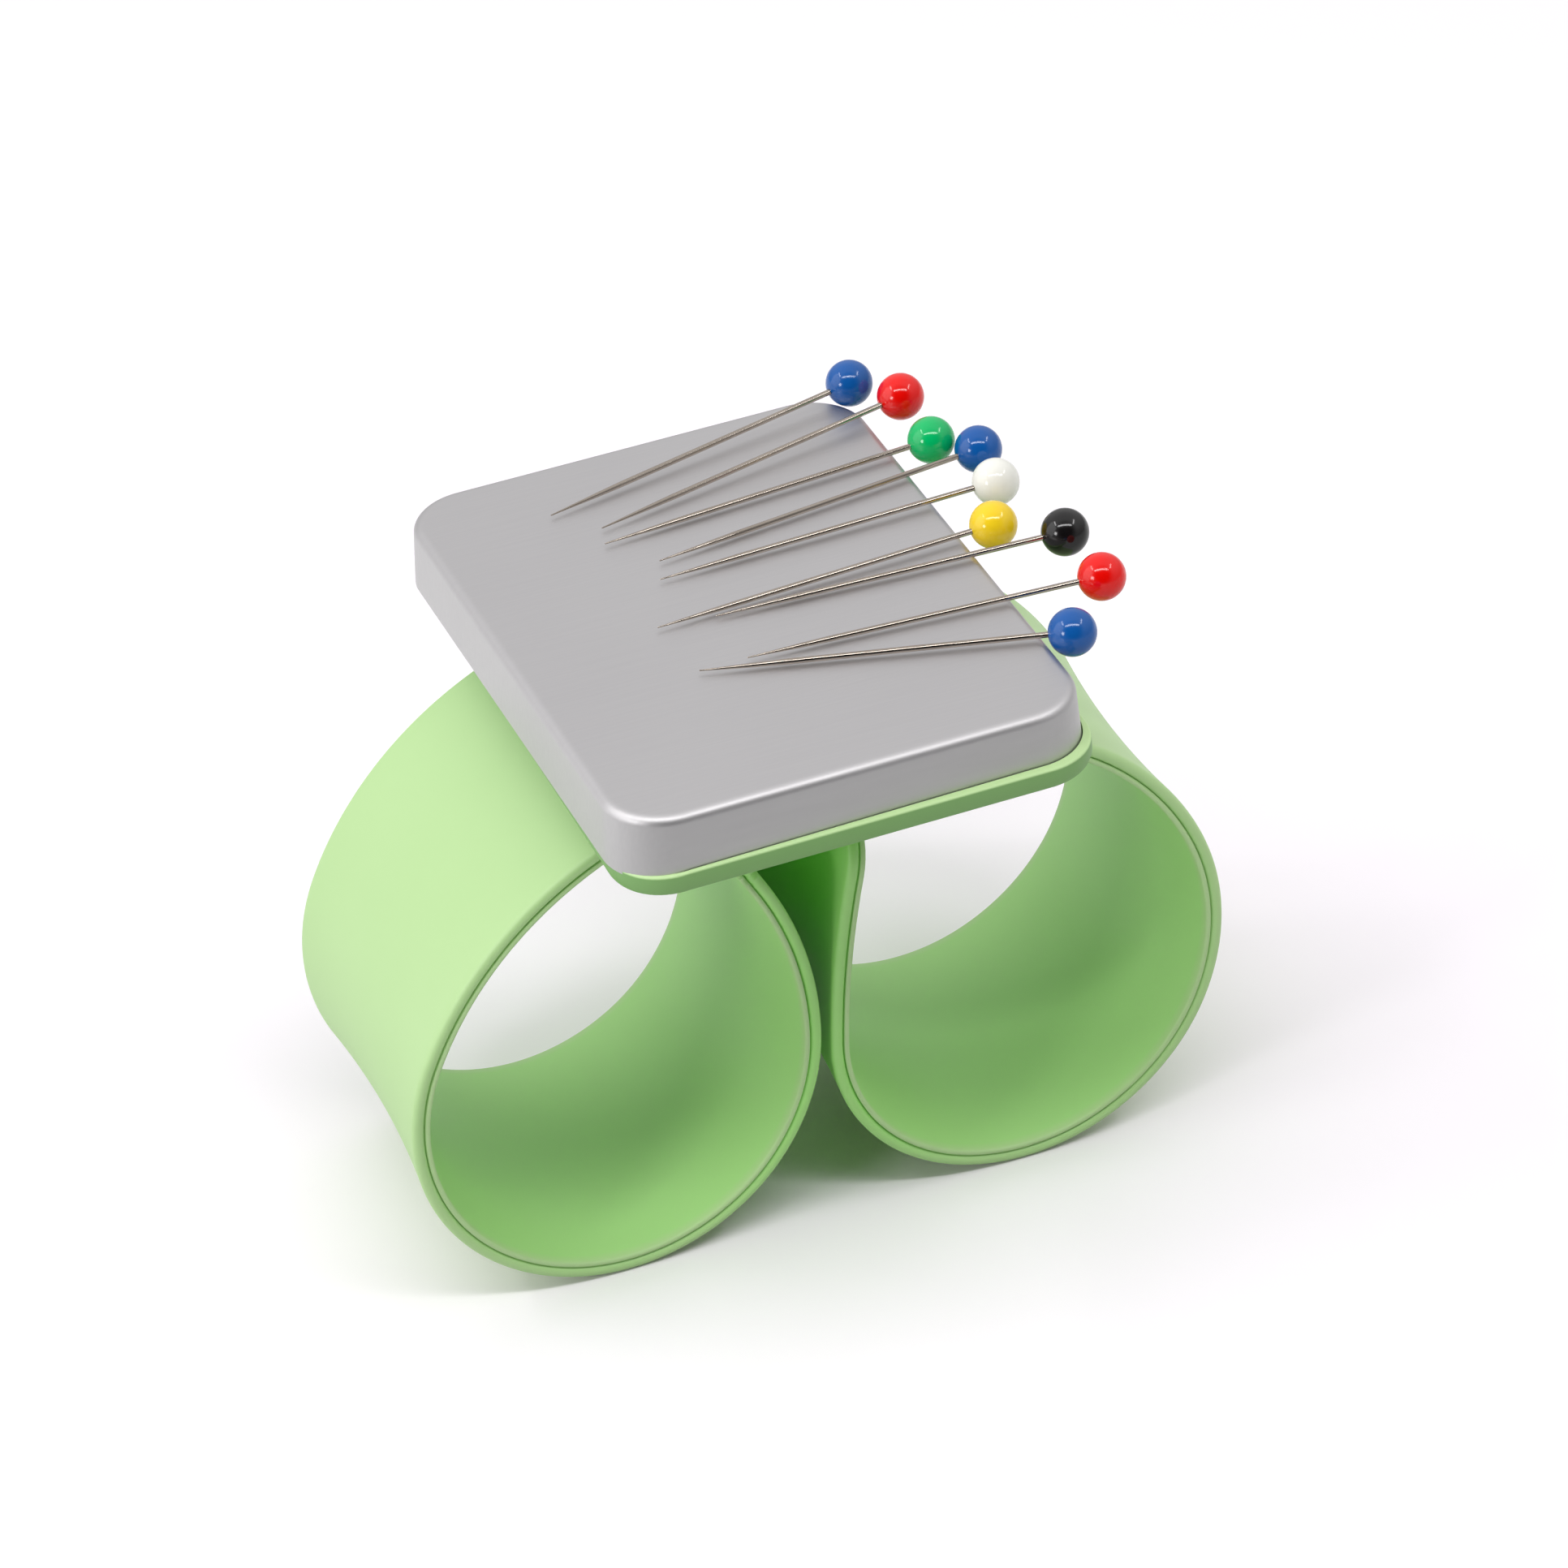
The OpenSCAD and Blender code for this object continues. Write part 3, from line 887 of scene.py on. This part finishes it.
# %% [markdown]
# A sweep starts from a ring of edges set square to the path, and every spin carries its
# last ring on. No step is more than a degree, so that the loops look round.

# %% Sweep helpers
STEP = math.radians(1)


def path_point(side, i, share):
    """A point on arc i of an arm, at the height of the band's edges."""
    turn, bend, radius, centre = arms[side][i]
    return centre + radius * facing(OUTWARDS[side], turn + share * bend)


def start_ring(bm, ring, side, i, share):
    """Adds a ring to a bmesh, square to arc i at a share of its bend."""
    before = set(bm.verts) | set(bm.edges)
    bm.from_mesh(ring)
    added = [g for g in bm.verts[:] + bm.edges[:] if g not in before]
    turn, bend, _, _ = arms[side][i]
    normal = facing(OUTWARDS[side], turn + share * bend)
    tilt = math.atan2(-normal.z, normal.x)
    place = Matrix.Translation(path_point(side, i, share)) @ Matrix.Rotation(tilt, 4, "Y")
    bmesh.ops.transform(bm, matrix=place, verts=verts_of(added))
    return added


def turn_on(bm, ring, side, i, share):
    """Carries a ring along arc i by a share of its bend, which may be negative."""
    _, bend, _, centre = arms[side][i]
    angle = share * bend
    swept = bmesh.ops.spin(
        bm,
        geom=ring,
        cent=centre,
        axis=(0, OUTWARDS[side], 0),
        angle=angle,
        steps=max(1, math.ceil(abs(angle) / STEP)),
    )
    return swept["geom_last"]


def shift_on(bm, ring, vector, steps):
    """Carries a ring straight on by a vector, which is a spin with no angle."""
    swept = bmesh.ops.spin(
        bm, geom=ring, dvec=vector / steps, axis=(0, 1, 0), angle=0, steps=steps
    )
    return swept["geom_last"]


def close_tube(bm, outer, inner=None):
    """Closes the end of a hollow tube between its two rings, or of a solid piece."""
    if inner:
        bmesh.ops.bridge_loops(bm, edges=edges_of(outer) + edges_of(inner))
    else:
        bmesh.ops.holes_fill(bm, edges=edges_of(outer), sides=0)


# %% [markdown]
# Where should one piece end and the next begin? The band bends at each hinge, so a cut
# at the hinge would open. Each piece therefore runs from the middle of one arc, over the
# hinge, to the middle of the next, and bends between the two links. Its ends follow
# one link only, so that neighbours always meet. The spring strip inside is cut the same
# way.

# %% Bending pieces
HALF_WAY = 0.5
BLEND_START, BLEND_END = 0.6, 0.4
# How far the painted shade of the gap between the loops reaches, and how it fades towards the band's edges.
GAP_REACH = 14 * MM
OUTER_SHARE = 0.7
EDGE_EASE, EDGE_POWER = 0.5, 4


def paint_gap_shade(bm):
    """Paints shade on the outer face where it is close to the other loop, below the pad."""
    depth = bm.verts.layers.float[SHADE_ATTRIBUTE]
    for vert in bm.verts:
        below_pad = vert.co.z < BAND_LEVEL - BAND_THICKNESS
        if below_pad and -CLOSE <= vert[depth] < OUTER_SHARE:
            near = max(0, 1 - abs(vert.co.x) / GAP_REACH)
            within = 1 - EDGE_EASE * (vert.co.y / HALF_BAND) ** EDGE_POWER
            vert[depth] += GAP_PAINTED_SHADE * near**2 * (3 - 2 * near) * within


def hinge_piece(side, i, rings, name, material):
    """The stretch over hinge i, as a hollow tube or a solid strip."""
    bm = bmesh.new()
    starts, ends = [], []
    for ring in rings:
        starts.append(start_ring(bm, ring, side, i - 1, HALF_WAY))
        swept = turn_on(bm, starts[-1], side, i - 1, 1 - HALF_WAY)
        ends.append(turn_on(bm, swept, side, i, HALF_WAY))
    close_tube(bm, *starts)
    close_tube(bm, *ends)
    loose = open_edges(bm)
    paint_gap_shade(bm)
    piece = finish_piece(bm, name, material)
    before = "pad" if i == 1 else f"{side}_link_{i - 1}"
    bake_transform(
        piece,
        before,
        f"{side}_link_{i}",
        start=path_point(side, i - 1, BLEND_START),
        end=path_point(side, i, BLEND_END),
    )
    return piece, loose


for side in OUTWARDS:
    for i in range(1, LINKS + 1):
        sleeve, gaps = hinge_piece(
            side, i, [band_ring, slot_ring], f"{side}_band_{i}", silicone
        )
        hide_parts(f"{side}_sleeve_{i}")
        spring, more = hinge_piece(
            side, i, [strip_ring], f"{side}_spring_{i}", spring_steel
        )
        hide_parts(f"{side}_strip_{i}")
        print(sleeve.name, len(sleeve.data.polygons), "faces, open edges:", gaps + more)


# %% [markdown]
# The middle of the band doesn't bend. It runs from half of the left arm's first arc,
# over the level stretch that the tray is bonded to, to half of the right arm's.

# %% Middle piece
LEVEL_STEPS = 4


def middle_piece(rings, name, material):
    """The stretch over the bond pad, as a hollow tube or a solid strip."""
    bm = bmesh.new()
    starts, ends = [], []
    level = path_point("right", 0, 0) - path_point("left", 0, 0)
    for ring in rings:
        starts.append(start_ring(bm, ring, "left", 0, HALF_WAY))
        swept = turn_on(bm, starts[-1], "left", 0, -HALF_WAY)
        swept = shift_on(bm, swept, level, LEVEL_STEPS)
        ends.append(turn_on(bm, swept, "right", 0, HALF_WAY))
    close_tube(bm, *starts)
    close_tube(bm, *ends)
    print(name, "open edges:", open_edges(bm))
    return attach(finish_piece(bm, name, material), "pad")


middle_band = middle_piece([band_ring, slot_ring], "middle_band", silicone)
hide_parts("centre_sleeve")
middle_spring = middle_piece([strip_ring], "middle_spring", spring_steel)
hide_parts("centre_strip")

# %% [markdown]
# The tips are the moulded ends of the band: the slot for the spring ends before them,
# and their corners are round. The round is made while sweeping: each of the last rings
# is scaled across the band, as a quarter circle asks.

# %% Tips of the band
TIP_CORNER, TIP_STEPS = 4 * MM, 8


def arc_share(side, length):
    """A length as a share of an arm's last arc."""
    _, bend, radius, _ = arms[side][LINKS]
    return length / (bend * radius)


def sweep_round_end(bm, ring, side):
    """Sweeps the last ring over the round corners and returns the narrow end ring."""
    quarter = math.pi / 2
    done, width = 0, 1
    for step in range(1, TIP_STEPS + 1):
        angle = quarter * step / TIP_STEPS
        reach = TIP_CORNER * math.sin(angle)
        ring = turn_on(bm, ring, side, LINKS, arc_share(side, reach - done))
        narrow = 1 - TIP_CORNER * (1 - math.cos(angle)) / HALF_BAND
        bmesh.ops.scale(bm, vec=(1, narrow / width, 1), verts=verts_of(ring))
        done, width = reach, narrow
    return ring


def tip_piece(side):
    """The end of an arm's sleeve, hollow as far as its spring reaches."""
    bm = bmesh.new()
    outer = start_ring(bm, band_ring, side, LINKS, HALF_WAY)
    slot = start_ring(bm, slot_ring, side, LINKS, HALF_WAY)
    rest = 1 - HALF_WAY - arc_share(side, TIP_CORNER)
    swept = turn_on(bm, outer, side, LINKS, rest)
    close_tube(bm, sweep_round_end(bm, swept, side))
    slot_share = 1 - HALF_WAY - arc_share(side, STRIP_END - STRIP_GAP)
    close_tube(bm, turn_on(bm, slot, side, LINKS, slot_share))
    close_tube(bm, outer, slot)
    print(side, "tip, open edges:", open_edges(bm))
    paint_gap_shade(bm)
    return finish_piece(bm, f"{side}_band_tip", silicone)


def spring_tip(side):
    """The end of an arm's spring strip."""
    bm = bmesh.new()
    ring = start_ring(bm, strip_ring, side, LINKS, HALF_WAY)
    share = 1 - HALF_WAY - arc_share(side, STRIP_END)
    close_tube(bm, turn_on(bm, ring, side, LINKS, share))
    close_tube(bm, ring)
    return finish_piece(bm, f"{side}_spring_tip", spring_steel)


for side in OUTWARDS:
    for piece in (tip_piece(side), spring_tip(side)):
        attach(piece, f"{side}_link_{LINKS}")
        print(piece.name, len(piece.data.polygons), "faces")

# %% [markdown]
# A pin is a nickel-plated steel wire with a long ground point, and a ball of plastic
# moulded on its end. Both are made standing on the origin, where a small circle can be
# raised and widened step by step and a ball set above it. They are then laid along the
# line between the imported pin's point and its head.

# %% Pins
PIN_LENGTH, PIN_RADIUS, POINT_RADIUS = 30 * MM, 0.25 * MM, 0.04 * MM
POINT_LENGTH, PIN_HOLD, HEAD_RADIUS = 7 * MM, 0.8 * MM, 2 * MM
HEAD_NAMES = "blue red green blue white yellow black red blue".split()
WIRE_SIDES, BALL_SIDES, BALL_RINGS = 20, 48, 32
NEAR_POINT = 0.1 * MM
WIRE_PROFILE = [  # how far from the point, and the radius there
    (0.02 * MM, 0.055 * MM),
    (0.3 * POINT_LENGTH, 0.12 * MM),
    (0.65 * POINT_LENGTH, 0.2 * MM),
    (POINT_LENGTH, PIN_RADIUS),
    (PIN_LENGTH + PIN_HOLD, PIN_RADIUS),
]


def pin_line(number):
    """The point of a pin and the middle of its head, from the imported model."""
    low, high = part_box(f"pin_head_{number}")
    head = (low + high) / 2
    places = [v.co for v in frame["nodes"][f"pin_shaft_{number}"].data.vertices]
    reach = max((p - head).length for p in places)
    tip = [p for p in places if (p - head).length > reach - NEAR_POINT]
    return sum(tip, Vector()) / len(tip), head


def lay_along(bm, point, head):
    """Lays what stands on the origin along the line from the point to the head."""
    turn = (head - point).to_track_quat("Z", "Y").to_matrix().to_4x4()
    bmesh.ops.transform(bm, matrix=Matrix.Translation(point) @ turn, verts=bm.verts[:])


def make_wire(point, head):
    """The pointed wire of a pin, from its point to a little way into its head."""
    bm = bmesh.new()
    bmesh.ops.create_circle(bm, segments=WIRE_SIDES, radius=POINT_RADIUS)
    bmesh.ops.holes_fill(bm, edges=bm.edges[:], sides=0)
    face = bm.faces[:][0]
    height, radius = 0, POINT_RADIUS
    for z, wide in WIRE_PROFILE:
        face = raise_face(bm, face, z - height)
        grow = wide / radius
        bmesh.ops.scale(bm, vec=(grow, grow, 1), verts=list(face.verts))
        height, radius = z, wide
    lay_along(bm, point, head)
    return bm


def make_ball(point, head):
    """The round head of a pin."""
    bm = bmesh.new()
    bmesh.ops.create_uvsphere(
        bm, u_segments=BALL_SIDES, v_segments=BALL_RINGS, radius=HEAD_RADIUS
    )
    bmesh.ops.translate(bm, vec=(0, 0, (head - point).length), verts=bm.verts[:])
    lay_along(bm, point, head)
    return bm


for number, colour in enumerate(HEAD_NAMES, 1):
    point, head = pin_line(number)
    wire = finish_piece(
        make_wire(point, head), f"pin_wire_{number}", pin_nickel
    )
    ball = finish_piece(
        make_ball(point, head), f"pin_ball_{number}", heads[colour]
    )
    for piece, node in ((wire, "pin_shaft"), (ball, "pin_head")):
        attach(piece, f"pin_{number}")
        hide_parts(f"{node}_{number}")
    print("pin", number, colour, "length in mm:", round((head - point).length / MM, 2))

# %% [markdown]
# The object stands on a plain white floor. The floor is seen at its full white, so that the picture's ground
# is white by its colour alone and keeps the green-tinged shadow between the coils. What the floor throws
# back at the object is clearly less, which leaves the sides of the object darker than its top, as in a real
# light tent. What the steel mirrors is a painted pool of light: for glossy rays the floor's colour is
# painted brighter towards the back, as a lit paper sweep would look. The seen white has a trace of lilac,
# because the green object tinges the floor beside it.

# %% Floor
FLOOR_SIZE = 4
FLOOR_SEEN = (1.03, 0.975, 1.04, 1)
FLOOR_BOUNCE, MIRRORED_FRONT, MIRRORED_BACK = 0.7, 0.56, 0.9
MIRRORED_START, MIRRORED_END = -60 * MM, 60 * MM
bm = bmesh.new()
bmesh.ops.create_grid(bm, x_segments=1, y_segments=1, size=FLOOR_SIZE)
floor_mesh = bpy.data.meshes.new("floor")
bm.to_mesh(floor_mesh)
bm.free()
floor = bpy.data.objects.new("floor", floor_mesh)
scene.collection.objects.link(floor)


def grey(value):
    """A grey of a linear value, as a colour."""
    return (value, value, value, 1)


floor_paint = bpy.data.materials.new("white floor")
floor_paint.use_nodes = True
tree = floor_paint.node_tree
tree.nodes.clear()
path = tree.nodes.new("ShaderNodeLightPath")
place = tree.nodes.new("ShaderNodeTexCoord")
parts = tree.nodes.new("ShaderNodeSeparateXYZ")
backwards = tree.nodes.new("ShaderNodeMapRange")
backwards.inputs["From Min"].default_value = MIRRORED_START
backwards.inputs["From Max"].default_value = MIRRORED_END
tree.links.new(place.outputs["Object"], parts.inputs["Vector"])
tree.links.new(parts.outputs["Y"], backwards.inputs["Value"])
# Painted light: the floor's colour for glossy rays, brighter towards the back.
mirrored = mix_colours(
    tree, backwards.outputs["Result"], grey(MIRRORED_FRONT), grey(MIRRORED_BACK)
)
tone = mix_colours(tree, path.outputs["Is Glossy Ray"], grey(FLOOR_BOUNCE), mirrored)
tone = mix_colours(tree, path.outputs["Is Camera Ray"], tone, FLOOR_SEEN)
matt = tree.nodes.new("ShaderNodeBsdfDiffuse")
out = tree.nodes.new("ShaderNodeOutputMaterial")
tree.links.new(tone, matt.inputs["Color"])
tree.links.new(matt.outputs["BSDF"], out.inputs["Surface"])
floor_mesh.materials.append(floor_paint)
print("floor:", 2 * FLOOR_SIZE, "m wide")

# %% [markdown]
# A light tent isn't evenly bright: its ceiling glows, its walls are dimmer, and there is
# a dark hole in it where the camera looks in. The hole keeps the colours of the glossy
# heads deep and gives the bright pins their dark lines. A world can do this by direction
# alone: one number for the height, times one for how close to the hole. The camera
# itself sees a plain white world.

# %% World
TENT_WALL, TENT_CEILING = 0.4, 0.82
CEILING_START, CEILING_LEAN = 0.7, 0.2
UP = Vector((0, 0, 1))
FRONT = Vector((math.sin(CAMERA_AZIMUTH), -math.cos(CAMERA_AZIMUTH), 0))
HOLE = CAMERA_PLACE.normalized()
HOLE_EDGE, HOLE_MIDDLE = 0.5, 0.92
HOLE_GLOW = 0.04
RANGE_SOCKETS = ("From Min", "From Max", "To Min", "To Max")
world = bpy.data.worlds.new("tent")
scene.world = world
world.use_nodes = True
tree = world.node_tree
tree.nodes.clear()


def glow_along(axis, start, end, low, high):
    """A soft step from low to high as the direction turns towards an axis."""
    along = tree.nodes.new("ShaderNodeVectorMath")
    along.operation = "DOT_PRODUCT"
    along.inputs[1].default_value = axis
    tree.links.new(direction.outputs["Generated"], along.inputs[0])
    shade = tree.nodes.new("ShaderNodeMapRange")
    shade.interpolation_type = "SMOOTHSTEP"
    for label, value in zip(RANGE_SOCKETS, (start, end, low, high)):
        shade.inputs[label].default_value = value
    tree.links.new(along.outputs["Value"], shade.inputs["Value"])
    return shade.outputs["Result"]


direction = tree.nodes.new("ShaderNodeTexCoord")
ceiling_axis = (UP - CEILING_LEAN * FRONT).normalized()
height_glow = glow_along(ceiling_axis, 0, CEILING_START, TENT_WALL, TENT_CEILING)
hole_glow = glow_along(HOLE, HOLE_EDGE, HOLE_MIDDLE, 1, HOLE_GLOW)
glow = tree.nodes.new("ShaderNodeMath")
glow.operation = "MULTIPLY"
tent = tree.nodes.new("ShaderNodeBackground")
backdrop = tree.nodes.new("ShaderNodeBackground")
for plain in (tent, backdrop):
    plain.inputs["Color"].default_value = (1, 1, 1, 1)
backdrop.inputs["Strength"].default_value = 1
path = tree.nodes.new("ShaderNodeLightPath")
pick = tree.nodes.new("ShaderNodeMixShader")
out = tree.nodes.new("ShaderNodeOutputWorld")
tree.links.new(height_glow, glow.inputs[0])
tree.links.new(hole_glow, glow.inputs[1])
tree.links.new(glow.outputs["Value"], tent.inputs["Strength"])
tree.links.new(path.outputs["Is Camera Ray"], pick.inputs["Fac"])
tree.links.new(tent.outputs["Background"], pick.inputs[1])
tree.links.new(backdrop.outputs["Background"], pick.inputs[2])
tree.links.new(pick.outputs["Shader"], out.inputs["Surface"])
print("hole of the tent towards:", [round(v, 2) for v in HOLE])

# %% [markdown]
# The tent has three strip lights round its ceiling, one over the opening and one on each
# side. Each glossy head shows them as a small horseshoe. A large soft lamp makes the left
# wall glow, and a small one at the front left puts a dot on each head. The strengths are
# given as radiance, which is how bright a lamp looks. Blender asks for watts, which are 4
# for each square metre at a radiance of 1, so a larger lamp looks no dimmer.

# %% Lamps
ALONG = Vector((math.cos(CAMERA_AZIMUTH), math.sin(CAMERA_AZIMUTH), 0))
WATTS_PER_RADIANCE = 4


def tent_lamp(name, to_right, to_front, height, size, radiance):
    """A lamp of a width and height, placed as seen by the camera, aimed at the object."""
    data = bpy.data.lights.new(name, "AREA")
    data.shape = "RECTANGLE"
    data.size, data.size_y = size
    data.energy = radiance * WATTS_PER_RADIANCE * data.size * data.size_y
    lamp = bpy.data.objects.new(name, data)
    scene.collection.objects.link(lamp)
    lamp.location = to_right * ALONG + to_front * FRONT + height * UP
    aim = (cad_low + cad_high) / 2 - lamp.location
    lamp.rotation_mode = "QUATERNION"
    lamp.rotation_quaternion = aim.to_track_quat("-Z", "Y")


tent_lamp("front strip", 0, 0.33, 0.8, (1.0, 0.09), 9.5)
tent_lamp("left strip", -0.62, 0, 0.8, (0.4, 0.06), 8)
tent_lamp("right strip", 0.62, 0, 0.8, (0.4, 0.06), 8)
tent_lamp("left wall", -1, 0.1, 0.45, (0.9, 0.9), 0.85)
tent_lamp("side dot", -0.68, 0.58, 0.35, (0.2, 0.2), 8)
scene.view_settings.view_transform = "Standard"
print("lamps:", len(bpy.data.lights))
